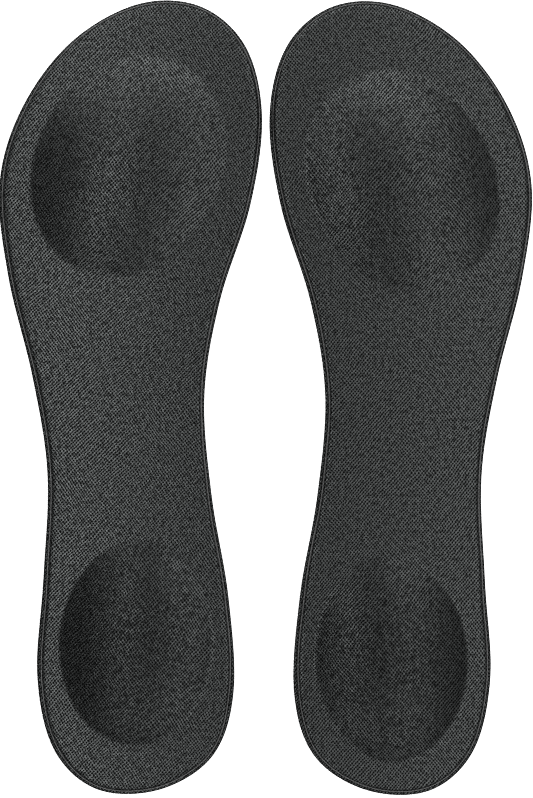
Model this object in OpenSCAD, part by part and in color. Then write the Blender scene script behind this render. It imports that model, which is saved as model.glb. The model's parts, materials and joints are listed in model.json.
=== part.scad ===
// A pair of slim cushioned insoles for heeled shoes, right foot at +X, toes at +Y.
// Each insole is a laminate: grip lining, base foam, two domed pads, cover foam, knit cover.
// Every full-length layer is cut at the flex line, where the forefoot bends up.
// The origin lies under the middle of the pair, on the surface that it rests on.

/* [Pair] */
// Gap between the two insoles where they are closest
pair_gap = 2; // [1:0.5:50]
// How far the left pads sit ahead of their mean place, and the right pads behind it
pad_drift = 2; // [0:0.5:3]

/* [Insole] */
// Length from heel to toe
insole_l = 210.5; // [190:0.5:240]
// Width across the ball of the foot
insole_w = 69.5; // [62:0.5:80]
// Width of the pressed rim around each insole
rim_w = 1; // [0.6:0.1:1.4]
// Distance of the flex line ahead of mid length
flex_y = 19; // [14:0.5:20]
// Width of the cut at the flex line
flex_cut = 0.3; // [0.2:0.05:0.5]

/* [Layers] */
// Thickness of the grip lining
lining_t = 0.4; // [0.3:0.1:0.8]
// Thickness of the base foam
base_t = 1.2; // [1:0.1:2]
// Thickness of the cover foam
cover_foam_t = 1; // [0.8:0.1:2]
// Thickness of the knit cover
knit_t = 0.5; // [0.4:0.1:0.8]

/* [Forefoot pad] */
// Width of the forefoot pad
fore_w = 48.5; // [40:0.5:52]
// Length of the forefoot pad
fore_l = 61; // [50:0.5:64]
// Height of the forefoot pad's dome
fore_rise = 3.8; // [2:0.1:6]
// Angle by which the forefoot pad's toe end leans towards the big toe
fore_lean = 27; // [0:1:35]

/* [Heel pad] */
// Width of the heel pad
heel_w = 40.5; // [34:0.5:42]
// Length of the heel pad
heel_l = 54.5; // [44:0.5:58]
// Height of the heel pad's dome
heel_rise = 4; // [2:0.1:6]
// Angle by which the heel pad leans towards the inner side
heel_lean = 2; // [0:1:10]

/* [Hidden] */

LEFT = -1;
RIGHT = 1;
FRONT = 1;
REAR = -1;

// Outline of the right insole at its first size, anticlockwise from the toe.
// Each point is across (outer side positive), then along (toe positive).
first_w = 69.5;
first_l = 210.5;
OUTLINE = [
    [-16.5, 103.5], [-28.5, 93], [-33, 74.5], [-30, 51], [-22, 25.5], [-18, 0.5],
    [-20, -26], [-24.5, -52.5], [-26, -78], [-20.5, -95], [-6.5, -104],
    [10, -104], [21.5, -93.5], [26, -74], [24.5, -48.5], [23.5, -20.5],
    [27.5, 5], [34, 31.5], [36.5, 56], [30.5, 76.5], [17.5, 94], [0, 104],
];
spline_steps = 6;

// Heights of the layers' faces above the surface that the insole rests on
lining_top = lining_t;
base_top = lining_top + base_t;
foam_top = base_top + cover_foam_t;
knit_top = foam_top + knit_t;
rim_top = lining_top + knit_t;

// Insets of the layers' edges from the outline. The cover wraps over the foams in two steps.
base_inset = rim_w + 0.2;
foam_inset = base_inset + 0.6;
lower_wall_inset = base_inset - knit_t;
upper_wall_inset = foam_inset - knit_t;
lower_wall_top = base_top + knit_t / 2;

// Pads: centre, half axes, lean, rise
fore_pad = [[2.2, 59], [fore_w, fore_l] / 2, fore_lean, fore_rise];
heel_pad = [[-0.4, -67.2], [heel_w, heel_l] / 2, heel_lean, heel_rise];

// A dome is a stack of rings, each a share of the pad's size. The skirt ring dips below the
// dome's foot, so that a dome and the plate that it stands on cross each other cleanly.
dome_sides = 32;
dome_shares = [0.3, 0.55, 0.78];
skirt_share = 1.04;
pad_share = 0.97;
glue_gap = 0.1;

function spline_point(p, i, t) =
    let (n = len(p), a = p[(i + n - 1) % n], b = p[i], c = p[(i + 1) % n], d = p[(i + 2) % n])
    b + (c - a) * t / 2 + (2 * a - 5 * b + 4 * c - d) * t * t / 2 + (3 * b - a - 3 * c + d) * t * t * t / 2;

function closed_spline(p) =
    [for (i = [0 : len(p) - 1], j = [0 : spline_steps - 1]) spline_point(p, i, j / spline_steps)];

edge = closed_spline([for (p = OUTLINE) [p.x * insole_w / first_w, p.y * insole_l / first_l]]);

// Distance from the middle of the pair to each insole's own centre line
half_spacing = pair_gap / 2 - min([for (p = edge) p.x]);

function inward(path, i) =
    let (n = len(path), along = path[(i + 1) % n] - path[(i + n - 1) % n])
    [-along.y, along.x] / norm(along);

function inset(distance) = [for (i = [0 : len(edge) - 1]) edge[i] + distance * inward(edge, i)];

function parabola(foot_z, rise, share) = foot_z + rise * (1 - share * share);

function ring(pad, share, z) =
    let (c = pad[0], half = pad[1] * share, lean = pad[2])
    [for (k = [0 : dome_sides - 1])
        let (x = half.x * cos(360 * k / dome_sides), y = half.y * sin(360 * k / dome_sides))
        [c.x + x * cos(lean) - y * sin(lean), c.y + x * sin(lean) + y * cos(lean), z]];

// Puts a right-foot shape on its own side, mirrored for the left foot
module on_side(side) {
    if (side == RIGHT) {
        translate([half_spacing, 0, 0]) children();
    } else {
        mirror([1, 0, 0]) translate([half_spacing, 0, 0]) children();
    }
}

// Shifts a pad's dome to where it sits on its side
module drifted(side) {
    translate([0, -side * pad_drift, 0]) children();
}

// A flat layer between two heights, ahead of the flex line or behind it
module plate(edge_inset, z_low, z_high, end) {
    reach = insole_l;
    start = end == FRONT ? flex_y + flex_cut / 2 : flex_y - flex_cut / 2 - reach;
    translate([0, 0, z_low]) linear_extrude(z_high - z_low) intersection() {
        polygon(inset(edge_inset));
        translate([-reach / 2, start]) square([reach, reach]);
    }
}

// A closed stack of rings with a point on top and a flat foot
module ring_stack(top, rings) {
    n = dome_sides;
    last = len(rings) - 1;
    polyhedron(
        points = concat([top], [for (r = rings) each r]),
        faces = concat(
            [for (k = [0 : n - 1]) [0, 1 + (k + 1) % n, 1 + k]],
            [for (i = [0 : last - 1], k = [0 : n - 1])
                [1 + i * n + k, 1 + i * n + (k + 1) % n, 1 + (i + 1) * n + (k + 1) % n, 1 + (i + 1) * n + k]],
            [[for (k = [0 : n - 1]) 1 + last * n + k]]
        ),
        convexity = 2
    );
}

// The dome that a pad raises in a layer whose flat face is at foot_z
module dome(pad, foot_z) {
    ring_stack(
        [pad[0].x, pad[0].y, foot_z + pad[3]],
        [for (share = concat(dome_shares, [1, skirt_share])) ring(pad, share, parabola(foot_z, pad[3], share))]
    );
}

// A pad on its own: the dome with a thin upright edge
module pad_body(pad, foot_z) {
    ring_stack(
        [pad[0].x, pad[0].y, foot_z + pad[3]],
        concat(
            [for (share = concat(dome_shares, [pad_share])) ring(pad, share, parabola(foot_z, pad[3], share))],
            [ring(pad, pad_share, foot_z)]
        )
    );
}

function pad_at(end) = end == FRONT ? fore_pad : heel_pad;

module top_cover(side, end) {
    color("#2b2d2e") on_side(side) difference() {
        union() {
            plate(0, lining_top, rim_top, end);
            plate(lower_wall_inset, lining_top, lower_wall_top, end);
            plate(upper_wall_inset, lining_top, knit_top, end);
            drifted(side) dome(pad_at(end), knit_top);
        }
        plate(base_inset, lining_top, base_top, end);
        plate(foam_inset, base_top, foam_top, end);
        drifted(side) dome(pad_at(end), foam_top);
    }
}

module cover_foam(side, end) {
    color("#3a3d40") on_side(side) difference() {
        union() {
            plate(foam_inset, base_top, foam_top, end);
            drifted(side) dome(pad_at(end), foam_top);
        }
        drifted(side) dome(pad_at(end), base_top + glue_gap);
    }
}

module cushion(side, end) {
    color("#6f8fa8") on_side(side) drifted(side) pad_body(pad_at(end), base_top);
}

module base_foam(side, end) {
    color("#55585c") on_side(side) plate(base_inset, lining_top, base_top, end);
}

module grip_lining(side, end) {
    color("#1c1d1f") on_side(side) plate(0, 0, lining_top, end);
}

top_cover(LEFT, FRONT);  // left_top_cover_front
top_cover(LEFT, REAR);  // left_top_cover_rear
cover_foam(LEFT, FRONT);  // left_cover_foam_front
cover_foam(LEFT, REAR);  // left_cover_foam_rear
cushion(LEFT, FRONT);  // left_forefoot_cushion
cushion(LEFT, REAR);  // left_heel_cushion
base_foam(LEFT, FRONT);  // left_base_foam_front
base_foam(LEFT, REAR);  // left_base_foam_rear
grip_lining(LEFT, FRONT);  // left_grip_lining_front
grip_lining(LEFT, REAR);  // left_grip_lining_rear
top_cover(RIGHT, FRONT);  // right_top_cover_front
top_cover(RIGHT, REAR);  // right_top_cover_rear
cover_foam(RIGHT, FRONT);  // right_cover_foam_front
cover_foam(RIGHT, REAR);  // right_cover_foam_rear
cushion(RIGHT, FRONT);  // right_forefoot_cushion
cushion(RIGHT, REAR);  // right_heel_cushion
base_foam(RIGHT, FRONT);  // right_base_foam_front
base_foam(RIGHT, REAR);  // right_base_foam_rear
grip_lining(RIGHT, FRONT);  // right_grip_lining_front
grip_lining(RIGHT, REAR);  // right_grip_lining_rear
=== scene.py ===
"""A pair of slim cushioned insoles: knit covers pressed over foam and two domed pads each."""

import json
import math

import bpy
import numpy as np
from mathutils import Matrix, Vector, noise


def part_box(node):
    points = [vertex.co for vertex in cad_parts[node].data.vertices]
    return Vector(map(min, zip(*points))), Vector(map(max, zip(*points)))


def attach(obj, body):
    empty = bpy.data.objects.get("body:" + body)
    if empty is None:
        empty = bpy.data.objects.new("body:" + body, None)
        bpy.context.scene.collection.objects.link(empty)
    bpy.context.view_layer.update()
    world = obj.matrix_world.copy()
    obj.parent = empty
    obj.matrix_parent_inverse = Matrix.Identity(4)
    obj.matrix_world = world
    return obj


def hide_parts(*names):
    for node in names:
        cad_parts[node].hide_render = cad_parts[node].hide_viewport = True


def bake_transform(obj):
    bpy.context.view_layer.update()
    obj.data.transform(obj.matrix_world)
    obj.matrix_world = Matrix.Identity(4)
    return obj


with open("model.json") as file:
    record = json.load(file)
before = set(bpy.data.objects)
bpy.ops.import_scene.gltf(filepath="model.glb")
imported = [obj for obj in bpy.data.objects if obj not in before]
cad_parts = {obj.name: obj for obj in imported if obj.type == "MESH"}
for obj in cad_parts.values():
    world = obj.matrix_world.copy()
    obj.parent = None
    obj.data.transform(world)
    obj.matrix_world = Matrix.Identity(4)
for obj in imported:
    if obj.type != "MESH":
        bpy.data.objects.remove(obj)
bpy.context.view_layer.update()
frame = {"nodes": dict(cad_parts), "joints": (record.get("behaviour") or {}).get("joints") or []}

MM = 0.001
SIDES = ("left", "right")

# Where the layers lie, from the CAD nodes
LINING_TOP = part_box("right_grip_lining_front")[1].z
BASE_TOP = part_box("right_base_foam_front")[1].z
FLEX = Vector(next(j for j in frame["joints"] if j["name"] == "right_flex")["pos_m"])
FLEX_CUT = 0.4 * MM  # CAD points nearer the flex line than this belong to its cut

# The pads' domes
PAD_SHARE = 0.97  # the CAD pad's edge, as a share of the dome that it raises in the layers
CREASE = 0.12 * MM  # how softly a dome meets the flat face round it

# The pressed rim at its narrowest, and how far in from the edge its widening has faded out
RIM = 0.24 * MM
RIM_FADE = 3.2 * MM
KISS = 0.02 * MM  # between two layers that lie on each other

# The knit's diamonds, across and along, and how far each insole's piece was cut off the straight
DIAMOND = (0.90, 1.06)
CUT_ANGLE = {"left": -5.1, "right": 0.6}
KNIT_STRETCH = 0.045  # by how much the knit is stretched at the top of a pad

# How much darker the knit is painted: at the top of the forefoot and heel pads, partly as knit
# stretched thin and partly as painted shade; a little on the pressed rim; and on the wall from the
# rim up to the face, as painted shade
PAD_STRETCH_AND_SHADE = (0.18, 0.4)
RIM_DULL = 0.35
WALL_PAINTED_SHADE = 0.85
# The wall's dullness below is painted shade: the knit is painted darker from the rim up to the
# face.
RIM_HEIGHT = 0.55  # millimetres above the lining, where the wall starts
WALL_HEIGHT = 2.5  # and where its dullness has faded out
WALL_FADE = 0.5  # over this much height


# ---------------------------------------------------------------- camera, light and floor


def make_camera():
    """Looks straight down on the pair, which fills the height of the picture. The middle of
    the picture lies a little beside the pair's, and the picture is turned a little."""
    height = 0.62
    seen = 211.6 * MM
    sensor = 36.0
    beside = 0.45 * MM
    turn = math.radians(0.2)
    data = bpy.data.cameras.new("camera")
    data.sensor_width = sensor
    data.lens = sensor * height / seen
    camera = bpy.data.objects.new("camera", data)
    camera.location = (beside, -beside, height)
    camera.rotation_euler = (0, 0, turn)
    bpy.context.collection.objects.link(camera)
    bpy.context.scene.camera = camera


def area_light(name, place, size, watts, target, spread=180):
    """A rectangular light that faces the target, with its second size along Y."""
    data = bpy.data.lights.new(name, "AREA")
    data.shape = "RECTANGLE"
    data.size, data.size_y = size
    data.energy = watts
    data.spread = math.radians(spread)
    light = bpy.data.objects.new(name, data)
    light.location = place
    back = (Vector(place) - Vector(target)).normalized()
    across = Vector((0, 1, 0)).cross(back).normalized()
    light.rotation_euler = Matrix((across, back.cross(across), back)).transposed().to_euler()
    bpy.context.collection.objects.link(light)


def make_lights():
    """Softboxes hung low on both sides of the camera, which looks down through their gap.

    The gap and the dark beyond them shade the pads: one band near each pad's middle, and the
    flank that faces away from the other insole. Weaker fills stand at the sides and ends."""
    hung = 0.3
    length = 0.7
    narrow = 70
    area_light("softbox_left", (-0.09, 0.05, hung), (0.03, length), 0.10, (-0.04, 0.05, 0), narrow)
    area_light("softbox_right", (0.12, 0.05, hung), (0.14, length), 0.70, (0.036, 0.05, 0))
    area_light("fill_left", (-0.35, 0, hung), (0.03, length), 0.05, (-0.1, 0, 0))
    area_light("fill_right", (0.35, 0, hung), (0.03, length), 0.05, (0.1, 0, 0))
    area_light("fill_top", (-0.1, 0.3, hung), (0.4, 0.06), 0.46, (-0.05, 0.1, 0))
    area_light("fill_bottom", (-0.03, -0.26, hung), (0.24, 0.06), 0.10, (-0.03, -0.1, 0))
    world = bpy.data.worlds.new("world")
    world.use_nodes = True
    background = world.node_tree.nodes["Background"]
    background.inputs["Color"].default_value = (1, 1, 1, 1)
    background.inputs["Strength"].default_value = 0.03
    scene = bpy.context.scene
    scene.world = world
    scene.view_settings.view_transform = "Standard"
    scene.cycles.use_denoising = False
    scene.cycles.filter_width = 1.0


def make_floor():
    """A wide white floor, and a wall round it that shows in low views but lights nothing."""
    sides = 64
    turn = np.arange(sides) * 2 * math.pi / sides
    profile = [(4, 0), (4.5, 0.1), (4.85, 0.45), (5, 1), (5, 4)]
    verts = [(r * math.cos(a), r * math.sin(a), z) for r, z in profile for a in turn]
    strips = []
    for row in range(len(profile) - 1):
        for k in range(sides):
            here, there = row * sides + k, row * sides + (k + 1) % sides
            strips.append((here, here + sides, there + sides, there))
    floor = make_mesh("floor", verts[:sides], [tuple(range(sides))])
    wall = make_mesh("wall", verts, strips)
    wall.visible_diffuse = wall.visible_glossy = False
    paint = bpy.data.materials.new("floor_white")
    paint.use_nodes = True
    shader = paint.node_tree.nodes["Principled BSDF"]
    shader.inputs["Base Color"].default_value = (0.9, 0.9, 0.9, 1)
    shader.inputs["Roughness"].default_value = 0.9
    shader.inputs["Specular IOR Level"].default_value = 0.1
    shader.inputs["Emission Color"].default_value = (1, 1, 1, 1)
    shader.inputs["Emission Strength"].default_value = 0.7
    for staged in (floor, wall):
        staged.location.z = -0.05 * MM
        staged.data.materials.append(paint)


# ---------------------------------------------------------------- the plan of an insole


def closed_curve(points, steps):
    """A smooth closed curve through the points (uniform Catmull-Rom)."""
    a, b = np.roll(points, 1, 0), points
    c, d = np.roll(points, -1, 0), np.roll(points, -2, 0)
    t = (np.arange(steps) / steps)[None, :, None]
    a, b, c, d = (p[:, None, :] for p in (a, b, c, d))
    curve = b + (c - a) * t / 2
    curve = curve + (2 * a - 5 * b + 4 * c - d) * t**2 / 2
    curve = curve + (3 * b - a - 3 * c + d) * t**3 / 2
    return curve.reshape(-1, 2)


def lining_edge(side):
    """The insole's edge, anticlockwise, from the corners of its grip lining's two halves."""
    points = set()
    for end in ("front", "rear"):
        for v in frame["nodes"][f"{side}_grip_lining_{end}"].data.vertices:
            if abs(v.co.y - FLEX.y) > FLEX_CUT:
                points.add((round(v.co.x, 6), round(v.co.y, 6)))
    points = np.array(sorted(points))
    middle = points.mean(0)
    around = np.arctan2(points[:, 1] - middle[1], points[:, 0] - middle[0])
    steps = 12
    return closed_curve(points[np.argsort(around)], steps)


def cut_size(side):
    """Width and length of the insole's outline, to which its sheets are cut."""
    return tuple(np.ptp(lining_edge(side), axis=0))


def cut_area(side):
    """Area of the insole's outline."""
    x, y = lining_edge(side).T
    return abs(np.dot(x, np.roll(y, -1)) - np.dot(y, np.roll(x, -1))) / 2


class Plan:
    """The insole seen from above, as rings: the edge, insets of it, then steps in to a spine.

    Ring points run anticlockwise from the toe tip, down the left, to the heel tip and back.
    Left and right points at one station along the insole share one point of the spine."""

    def __init__(self, side, step):
        edge = lining_edge(side)
        toe, heel = edge[:, 1].argmax(), edge[:, 1].argmin()
        down = np.roll(edge, -toe, 0)[: (heel - toe) % len(edge) + 1][::-1]
        up = np.roll(edge, -heel, 0)[: (toe - heel) % len(edge) + 1]
        samples = 4001
        fine = np.linspace(edge[heel, 1], edge[toe, 1], samples)
        width = np.interp(fine, *up.T[::-1]) - np.interp(fine, *down.T[::-1])
        run = np.concatenate([[0], np.cumsum(np.hypot(np.diff(fine), np.diff(width) / 2))])
        self.stations = round(run[-1] / step)
        y = np.interp(np.linspace(0, run[-1], self.stations + 1), run, fine)
        left = np.column_stack([np.interp(y, *down.T[::-1]), y])
        right = np.column_stack([np.interp(y, *up.T[::-1]), y])
        left[[0, -1]] = right[[0, -1]] = (left[[0, -1]] + right[[0, -1]]) / 2
        self.edge = np.concatenate([left[::-1], right[1:-1]])
        along = np.roll(self.edge, -1, 0) - np.roll(self.edge, 1, 0)
        self.inward = np.column_stack([-along[:, 1], along[:, 0]])
        self.inward /= np.linalg.norm(along, axis=1)[:, None]
        end_reach = 24 * MM  # the spine stops this far short of the toe and the heel
        half = (y[-1] - y[0]) / 2
        spine_y = y[0] + half + (y - y[0] - half) * (half - end_reach) / half
        spine_x = (np.interp(spine_y, *up.T[::-1]) + np.interp(spine_y, *down.T[::-1])) / 2
        self.to_spine = abs(self.stations - np.arange(2 * self.stations))
        self.spine = np.column_stack([spine_x, spine_y])[self.to_spine]

    def inset(self, distance):
        """The edge moved inwards, each point by its own distance."""
        return self.edge + self.inward * distance[:, None]

    def rings(self, insets, inner):
        """The rings at these insets, then as many even steps to the spine as inner says."""
        rings = [self.inset(d) for d in insets]
        start = rings[-1]
        steps = [start + (self.spine - start) * k / inner for k in range(1, inner + 1)]
        return rings + steps


# ---------------------------------------------------------------- meshes


def ring_solid(name, plan, rings):
    """A closed mesh through rings that run from the top's spine out, down and in to the
    underside's spine. The first and last ring are spines, whose points are shared."""
    count = len(plan.edge)
    verts, rows = [], []
    for k, ring in enumerate(rings):
        base = len(verts)
        if k in (0, len(rings) - 1):
            shared = np.zeros((plan.stations + 1, 3))
            shared[plan.to_spine] = ring
            verts.extend(shared)
            rows.append(base + plan.to_spine)
        else:
            verts.extend(ring)
            rows.append(base + np.arange(count))
    faces = []
    for inner, outer in zip(rows, rows[1:]):
        inner_next, outer_next = np.roll(inner, -1), np.roll(outer, -1)
        faces.append(np.column_stack([outer, outer_next, inner_next, inner]))
    return make_mesh(name, np.array(verts), np.concatenate(faces))


def make_mesh(name, verts, faces):
    """A smooth-shaded mesh object."""
    mesh = bpy.data.meshes.new(name)
    mesh.from_pydata([tuple(v) for v in verts], [], [tuple(map(int, f)) for f in faces])
    mesh.polygons.foreach_set("use_smooth", [True] * len(mesh.polygons))
    mesh.validate()
    mesh.update()
    piece = bpy.data.objects.new(name, mesh)
    bpy.context.collection.objects.link(piece)
    return piece


class Dome:
    """The dome that a pad raises in the layers over it, from the CAD pad."""

    def __init__(self, node):
        points = np.array([v.co for v in frame["nodes"][node].data.vertices], float)
        foot = points[:, 2].min()
        rim = np.unique(points[points[:, 2] < foot + 1e-6, :2].round(6), axis=0)
        self.centre = rim.mean(0)
        spread, self.axes = np.linalg.eigh(np.cov(rim.T, bias=True))
        self.half = np.sqrt(2 * spread) / PAD_SHARE
        self.rise = points[:, 2].max() - foot

    def share(self, xy):
        """How far out of the dome's middle a point lies: 0 there, 1 at the dome's foot."""
        return np.linalg.norm((xy - self.centre) @ self.axes / self.half, axis=-1)

    def height(self, xy):
        """How far the dome lifts a layer at a point, with a soft crease at its foot."""
        over = self.rise * (1 - self.share(xy) ** 2)
        return (over + np.sqrt(over**2 + CREASE**2)) / 2


def domes(side):
    """The forefoot dome, then the heel dome."""
    return [Dome(f"{side}_forefoot_cushion"), Dome(f"{side}_heel_cushion")]


def raised(xy, z, side_domes):
    """The points at height z, plus what the domes raise them by."""
    lift = sum((dome.height(xy) for dome in side_domes), np.zeros(len(xy)))
    return np.column_stack([xy, z + lift])


def build_layer(name, plan, side, top, bottom, top_steps, bottom_steps, domed, widen=0.0):
    """A layer between two profiles, each a list of (inset, height) from the edge inwards, which
    the pads raise where it is domed. The top's rim is wider by widen, a length for each point
    of the edge, which fades out inwards."""
    side_domes = domes(side) if domed else []

    def surface(profile, steps, extra):
        fade = [min(1.0, d / RIM) * max(0.0, 1 - d / RIM_FADE) for d, _ in profile]
        insets = [np.full(len(plan.edge), d) + extra * f for (d, _), f in zip(profile, fade)]
        heights = [z for _, z in profile] + [profile[-1][1]] * steps
        return [raised(xy, z, side_domes) for xy, z in zip(plan.rings(insets, steps), heights)]

    upper = surface(top, top_steps, widen)
    lower = surface(bottom, bottom_steps, 0.0)
    return ring_solid(name, plan, upper[::-1] + lower)


def rim_widening(plan):
    """How much wider than its narrowest the pressed rim is at each point of the edge: more
    round the heel and on edges that face left, with a slow drift."""
    heel_start = 45 * MM
    heel_fade = 35 * MM
    drift_size = 18 * MM
    most = 0.75 * MM
    heel = np.clip((-plan.edge[:, 1] - heel_start) / heel_fade, 0, 1)
    faces_left = np.clip(plan.inward[:, 0], 0, 1)
    drift = np.array([noise.noise(Vector((x, y, 0)) / drift_size) for x, y in plan.edge])
    share = 0.25 + 0.45 * heel + 0.35 * faces_left + 0.35 * drift
    return np.clip(share, 0, 1.1) * most


def mm(profile, z=0.0):
    """A profile given in millimetres above the height z, in metres."""
    return [(d * MM, z + h * MM) for d, h in profile]


def build_knit_cover(side):
    """The knit cover: a pressed rim, a crease, a rounded shoulder and the domed face."""
    plan = Plan(side, 0.62 * MM)
    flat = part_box(f"{side}_top_cover_front")[1].z - domes(side)[0].rise - LINING_TOP
    face = flat / MM
    top = mm(
        [(0.0, 0.3), (0.03, 0.44), (0.08, 0.5), (0.16, 0.53), (0.24, 0.52), (0.3, 0.5),
         (0.34, 0.56), (0.38, 0.85), (0.44, 1.3), (0.53, 1.75), (0.68, 2.12), (0.92, 2.42),
         (1.25, 2.58), (1.7, 2.66), (2.3, face - 0.01), (3.2, face)],
        LINING_TOP,
    )
    bottom = mm(
        [(0.0, 0.08), (0.04, 0.03), (0.5, 0.02), (1.35, 0.02), (1.45, 0.12), (1.55, 0.5),
         (1.7, 1.0), (1.9, 1.45), (2.2, 1.8), (2.6, 2.05), (3.1, 2.17), (3.8, 2.2)],
        LINING_TOP,
    )
    widen = rim_widening(plan)
    return build_layer(f"{side}_knit_cover", plan, side, top, bottom, 44, 16, True, widen)


def build_cover_foam(side):
    """The foam sheet under the knit, domed like it, with a rounded upper edge."""
    plan = Plan(side, 1.2 * MM)
    top = mm(
        [(1.95, 1.3), (1.99, 1.45), (2.28, 1.78), (2.66, 2.02), (3.15, 2.14), (3.9, 2.18)],
        LINING_TOP,
    )
    bottom = mm([(1.95, 1.26), (2.0, 1.22), (3.9, 1.22)], LINING_TOP)
    return build_layer(f"{side}_cover_foam", plan, side, top, bottom, 20, 20, True)


def build_base_foam(side):
    """The flat foam sheet that the pads are glued to, with a rounded upper edge."""
    plan = Plan(side, 1.2 * MM)
    top = mm([(1.62, 0.5), (1.76, 1.0), (1.84, 1.15), (1.95, 1.19), (3.9, 1.2)], LINING_TOP)
    bottom = mm([(1.6, 0.1), (1.65, 0.02), (3.9, 0.02)], LINING_TOP)
    return build_layer(f"{side}_base_foam", plan, side, top, bottom, 14, 14, False)


def build_grip_lining(side):
    """The thin fabric underneath, which reaches out to the edge of the pressed rim."""
    plan = Plan(side, 0.9 * MM)
    top = mm([(0.0, 0.3), (0.03, 0.37), (0.1, 0.4), (1.5, 0.4), (3.9, 0.4)])
    bottom = mm([(0.0, 0.1), (0.03, 0.03), (0.12, 0.0), (1.5, 0.0), (3.9, 0.0)])
    return build_layer(f"{side}_grip_lining", plan, side, top, bottom, 12, 20, False)


def build_pad(side, which):
    """A pad: a smooth dome with a soft lower edge, flat where it is glued to the base foam."""
    dome = Dome(f"{side}_{which}_cushion")
    sides = 96
    rows = 26
    turn = np.arange(sides) * 2 * math.pi / sides
    ring = np.column_stack([np.cos(turn), np.sin(turn)])
    if np.linalg.det(dome.axes) < 0:
        ring = ring[::-1]
    shares = [PAD_SHARE * math.sin(k / rows * math.pi / 2) for k in range(1, rows + 1)]
    layers = [(s, dome.rise * (1 - s * s) - KISS) for s in shares]
    edge_z = layers[-1][1]
    layers.append((PAD_SHARE + 0.004, edge_z * 0.6))
    layers.append((PAD_SHARE, edge_z * 0.2))
    layers.append((PAD_SHARE - 0.01, 0.0))
    layers += [(s, 0.0) for s in (0.8, 0.6, 0.4, 0.2)]
    verts = [[*dome.centre, BASE_TOP + dome.rise - KISS]]
    for share, z in layers:
        xy = dome.centre + (ring * dome.half * share) @ dome.axes.T
        verts.extend(np.column_stack([xy, np.full(sides, BASE_TOP + z)]))
    verts.append([*dome.centre, BASE_TOP])
    nxt = np.roll(np.arange(sides), -1)
    faces = [(0, 1 + k, 1 + nxt[k]) for k in range(sides)]
    for row in range(len(layers) - 1):
        a = 1 + row * sides
        b = a + sides
        faces += [(a + k, b + k, b + nxt[k], a + nxt[k]) for k in range(sides)]
    last = 1 + (len(layers) - 1) * sides
    faces += [(last + nxt[k], last + k, len(verts) - 1) for k in range(sides)]
    return make_mesh(f"{side}_{which}_pad", verts, faces)


def add_rest(piece, side):
    """Stores what materials need of each point at rest: where it lies in millimetres, where in
    knit diamonds, and how much darker the knit is painted there: painted shade with some stretch
    at the pads' tops, a little on the pressed rim, and painted shade on the wall."""
    co = np.array([v.co for v in piece.data.vertices], float)
    unstretched = co[:, :2].copy()
    for dome in domes(side):
        pull = KNIT_STRETCH * np.exp(-dome.share(co[:, :2]) ** 2)
        unstretched -= (co[:, :2] - dome.centre) * pull[:, None]
    x, y = unstretched.T / MM
    turn = math.radians(CUT_ANGLE[side])
    across = x * math.cos(turn) + y * math.sin(turn)
    along = y * math.cos(turn) - x * math.sin(turn)
    knit = np.column_stack([across / DIAMOND[0], along / DIAMOND[1], co[:, 2] / MM])
    # Painted shade: the knit's colour is darkened at the pads' tops, partly for knit stretched
    # thin and partly as painted shade.
    over_pads = [np.clip(1 - dome.share(co[:, :2]) ** 2, 0, 1) for dome in domes(side)]
    pad_stretch_and_shade = over_pads[0] * PAD_STRETCH_AND_SHADE[0] + over_pads[1] * PAD_STRETCH_AND_SHADE[1]
    # Painted shade on the wall from the rim up to the face; the pressed rim is only painted a
    # little darker.
    height = (co[:, 2] - LINING_TOP) / MM
    wall = np.clip((WALL_HEIGHT - height) / WALL_FADE, 0, 1) * WALL_PAINTED_SHADE
    rim_dim_and_wall_shade = np.where(height > RIM_HEIGHT, wall, RIM_DULL)
    for name, kind, field, values in (
        ("rest_mm", "FLOAT_VECTOR", "vector", co / MM),
        ("weave", "FLOAT_VECTOR", "vector", knit),
        ("knit_darkening_painted_shade", "FLOAT", "value", pad_stretch_and_shade + rim_dim_and_wall_shade),
    ):
        layer = piece.data.attributes.new(name, kind, "POINT")
        layer.data.foreach_set(field, values.astype(np.float32).ravel())


# ---------------------------------------------------------------- materials


class Nodes:
    """A material's node tree, with short calls for the nodes that the materials share."""

    def __init__(self, name):
        self.material = bpy.data.materials.new(name)
        self.material.use_nodes = True
        self.tree = self.material.node_tree
        self.shader = self.tree.nodes["Principled BSDF"]

    def set(self, socket, value):
        if isinstance(value, bpy.types.NodeSocket):
            self.tree.links.new(value, socket)
        else:
            socket.default_value = value

    def add(self, kind, inputs=(), **settings):
        node = self.tree.nodes.new(kind)
        for key, value in settings.items():
            setattr(node, key, value)
        for key, value in dict(inputs).items():
            self.set(node.inputs[key], value)
        return node

    def attribute(self, name, output="Vector"):
        return self.add("ShaderNodeAttribute", attribute_name=name).outputs[output]

    def math(self, operation, a, b=0.0, c=0.0, clamp=False):
        inputs = {0: a, 1: b, 2: c}
        return self.add("ShaderNodeMath", inputs, operation=operation, use_clamp=clamp).outputs[0]

    def vector(self, operation, a, b, output=0):
        node = self.add("ShaderNodeVectorMath", {0: a, 1: b}, operation=operation)
        return node.outputs[output]

    def dot(self, a, b):
        return self.vector("DOT_PRODUCT", a, b, "Value")

    def noise(self, where, scale, detail=2.0, colour=False):
        inputs = {"Vector": where, "Scale": scale, "Detail": detail}
        node = self.add("ShaderNodeTexNoise", inputs)
        return node.outputs["Color" if colour else "Fac"]

    def mix(self, share, a, b):
        node = self.add("ShaderNodeMix", data_type="RGBA")
        for key, value in ((0, share), (6, a), (7, b)):
            self.set(node.inputs[key], value)
        return node.outputs[2]

    def bump(self, height, strength, distance):
        inputs = {"Height": height, "Strength": strength, "Distance": distance}
        return self.add("ShaderNodeBump", inputs).outputs["Normal"]

    def finish(self, **sockets):
        for key, value in sockets.items():
            self.set(self.shader.inputs[key.replace("_", " ")], value)
        return self.material


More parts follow.
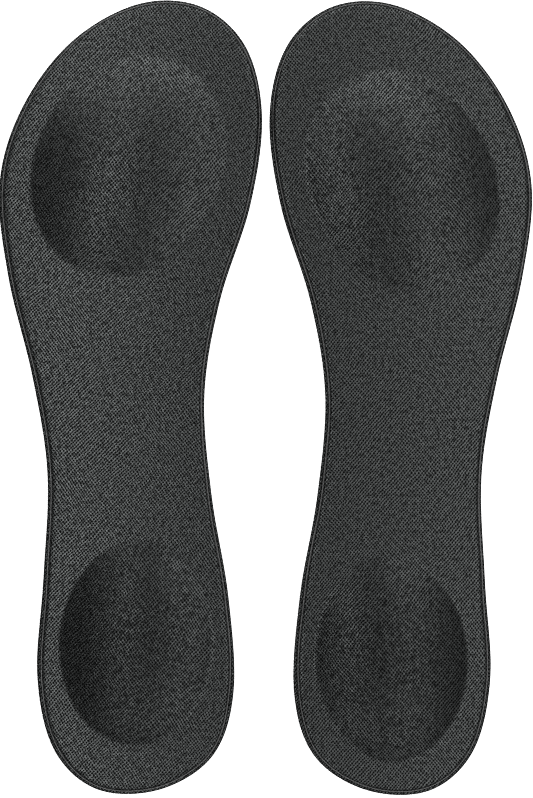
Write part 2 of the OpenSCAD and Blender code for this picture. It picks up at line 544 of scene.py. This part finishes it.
def knit_material():
    """Fine warp knit: a lattice of small dark gaps between glossy crossing yarns.

    Two noises drift the lattice. Two crossing waves make it: where both are high is a hole, and
    where one is high is a groove. Which way the grooves lean drifts over the cover. Fibres and
    clumps of them make the yarns' shine uneven."""
    n = Nodes("knit_cover")
    rest = n.attribute("rest_mm")
    weave = n.attribute("weave")
    slow = n.vector("SUBTRACT", n.noise(rest, 0.09, 1.0, True), (0.5, 0.5, 0.5))
    quick = n.vector("SUBTRACT", n.noise(rest, 0.8, 1.0, True), (0.5, 0.5, 0.5))
    slow_drift = n.vector("MULTIPLY", slow, (1.4, 1.4, 0))
    quick_drift = n.vector("MULTIPLY", quick, (0.45, 0.45, 0))
    place = n.vector("ADD", weave, n.vector("ADD", slow_drift, quick_drift))
    turn = 2 * math.pi
    waves = []
    for direction in ((-1, 1, 0), (1, 1, 0)):
        angle = n.math("MULTIPLY", n.dot(place, direction), turn)
        waves.append(n.math("MULTIPLY_ADD", n.math("COSINE", angle), 0.5, 0.5))
    hole = n.math("MULTIPLY", waves[0], waves[1])
    lean = n.math("MULTIPLY_ADD", n.noise(rest, 0.05, 1.0), 2.4, -0.6, clamp=True)
    groove = n.math("MULTIPLY_ADD", lean, n.math("SUBTRACT", waves[0], waves[1]), waves[1])
    gap = n.math("MULTIPLY_ADD", groove, 0.3, n.math("MULTIPLY", hole, 0.7))
    yarn = n.math("SUBTRACT", 1.0, gap)
    fibres = n.noise(rest, 3.2, 3.0)
    clumps = n.noise(rest, 0.95, 2.0)
    # The stored darkening, which is painted shade at the pads' tops and on the wall, darkens the
    # colour and the specular tint.
    kept = n.math("SUBTRACT", 1.0, n.attribute("knit_darkening_painted_shade", "Fac"))
    clumped = n.math("MULTIPLY_ADD", clumps, 2.8, -0.4)
    uneven = n.math("MULTIPLY", n.math("MULTIPLY", fibres, 2.0), clumped)
    shine = n.math("MULTIPLY", n.math("POWER", yarn, 2.6), uneven)
    light = n.math("MULTIPLY", shine, kept, clamp=True)
    relief = n.math("MULTIPLY_ADD", fibres, 0.4, yarn)
    return n.finish(
        Base_Color=n.mix(light, (0.001, 0.001, 0.001, 1), (0.019, 0.0202, 0.0204, 1)),
        Specular_Tint=n.mix(light, (0.03, 0.03, 0.03, 1), (0.94, 1.0, 0.99, 1)),
        Specular_IOR_Level=1.0,
        Roughness=n.math("MULTIPLY_ADD", light, -0.12, 0.46),
        Normal=n.bump(relief, 0.12, 0.1 * MM),
    )


def foam_material(name, dark, light, cell, relief):
    """Foam between two colours: round cells, that many to a millimetre, in a matt skin."""
    n = Nodes(name)
    rest = n.attribute("rest_mm")
    cells = n.add("ShaderNodeTexVoronoi", {"Vector": rest, "Scale": cell}).outputs["Distance"]
    patches = n.noise(rest, 0.25, 3.0)
    share = n.math("MULTIPLY_ADD", cells, 0.8, n.math("MULTIPLY", patches, 0.5), clamp=True)
    return n.finish(
        Base_Color=n.mix(share, dark, light),
        Roughness=0.85,
        Normal=n.bump(cells, 0.5, relief),
    )


def lining_material():
    """Brushed non-slip fabric: short matted fibres, uneven over a few millimetres."""
    n = Nodes("grip_lining")
    rest = n.attribute("rest_mm")
    fibres = n.noise(n.vector("MULTIPLY", rest, (1.0, 0.35, 1.0)), 3.5, 4.0)
    felt = n.noise(rest, 0.6, 3.0)
    share = n.math("MULTIPLY_ADD", fibres, 0.7, n.math("MULTIPLY", felt, 0.4), clamp=True)
    return n.finish(
        Base_Color=n.mix(share, (0.012, 0.012, 0.013, 1), (0.055, 0.057, 0.06, 1)),
        Roughness=0.9,
        Normal=n.bump(fibres, 0.6, 0.12 * MM),
    )


# ---------------------------------------------------------------- assembly


def finish_piece(piece, side, material):
    """Gives a piece its material and what that reads of each point."""
    piece.data.materials.append(material)
    add_rest(piece, side)


def build_insole(side, materials):
    """One insole: four full-length layers, and two pads."""
    rear, front = f"{side}_rear", f"{side}_front"
    builders = {
        "top_cover": (build_knit_cover, "knit_cover"),
        "cover_foam": (build_cover_foam, "cover_foam"),
        "base_foam": (build_base_foam, "base_foam"),
        "grip_lining": (build_grip_lining, "grip_lining"),
    }
    for node, (build, slot) in builders.items():
        layer = build(side)
        finish_piece(layer, side, materials[slot])
        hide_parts(f"{side}_{node}_front", f"{side}_{node}_rear")
        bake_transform(layer)
    pads = {which: build_pad(side, which) for which in ("forefoot", "heel")}
    for which, pad in pads.items():
        finish_piece(pad, side, materials["cushion_foam"])
        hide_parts(f"{side}_{which}_cushion")
    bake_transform(pads["forefoot"])
    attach(pads["heel"], rear)
    cut = {"flat": cut_size(side), "area": cut_area(side)}


make_camera()
make_lights()
make_floor()
# Each foam's dark and light colour, cells to a millimetre and relief
FOAMS = {
    "cover_foam": ((0.02, 0.02, 0.022, 1), (0.07, 0.072, 0.075, 1), 2.2, 0.1 * MM),
    "base_foam": ((0.03, 0.03, 0.032, 1), (0.08, 0.082, 0.086, 1), 3.0, 0.05 * MM),
    "cushion_foam": ((0.10, 0.16, 0.22, 1), (0.2, 0.28, 0.36, 1), 1.4, 0.08 * MM),
}
MATERIALS = {"knit_cover": knit_material()}
for foam, look in FOAMS.items():
    MATERIALS[foam] = foam_material(foam, *look)
MATERIALS["grip_lining"] = lining_material()
for insole in SIDES:
    build_insole(insole, MATERIALS)
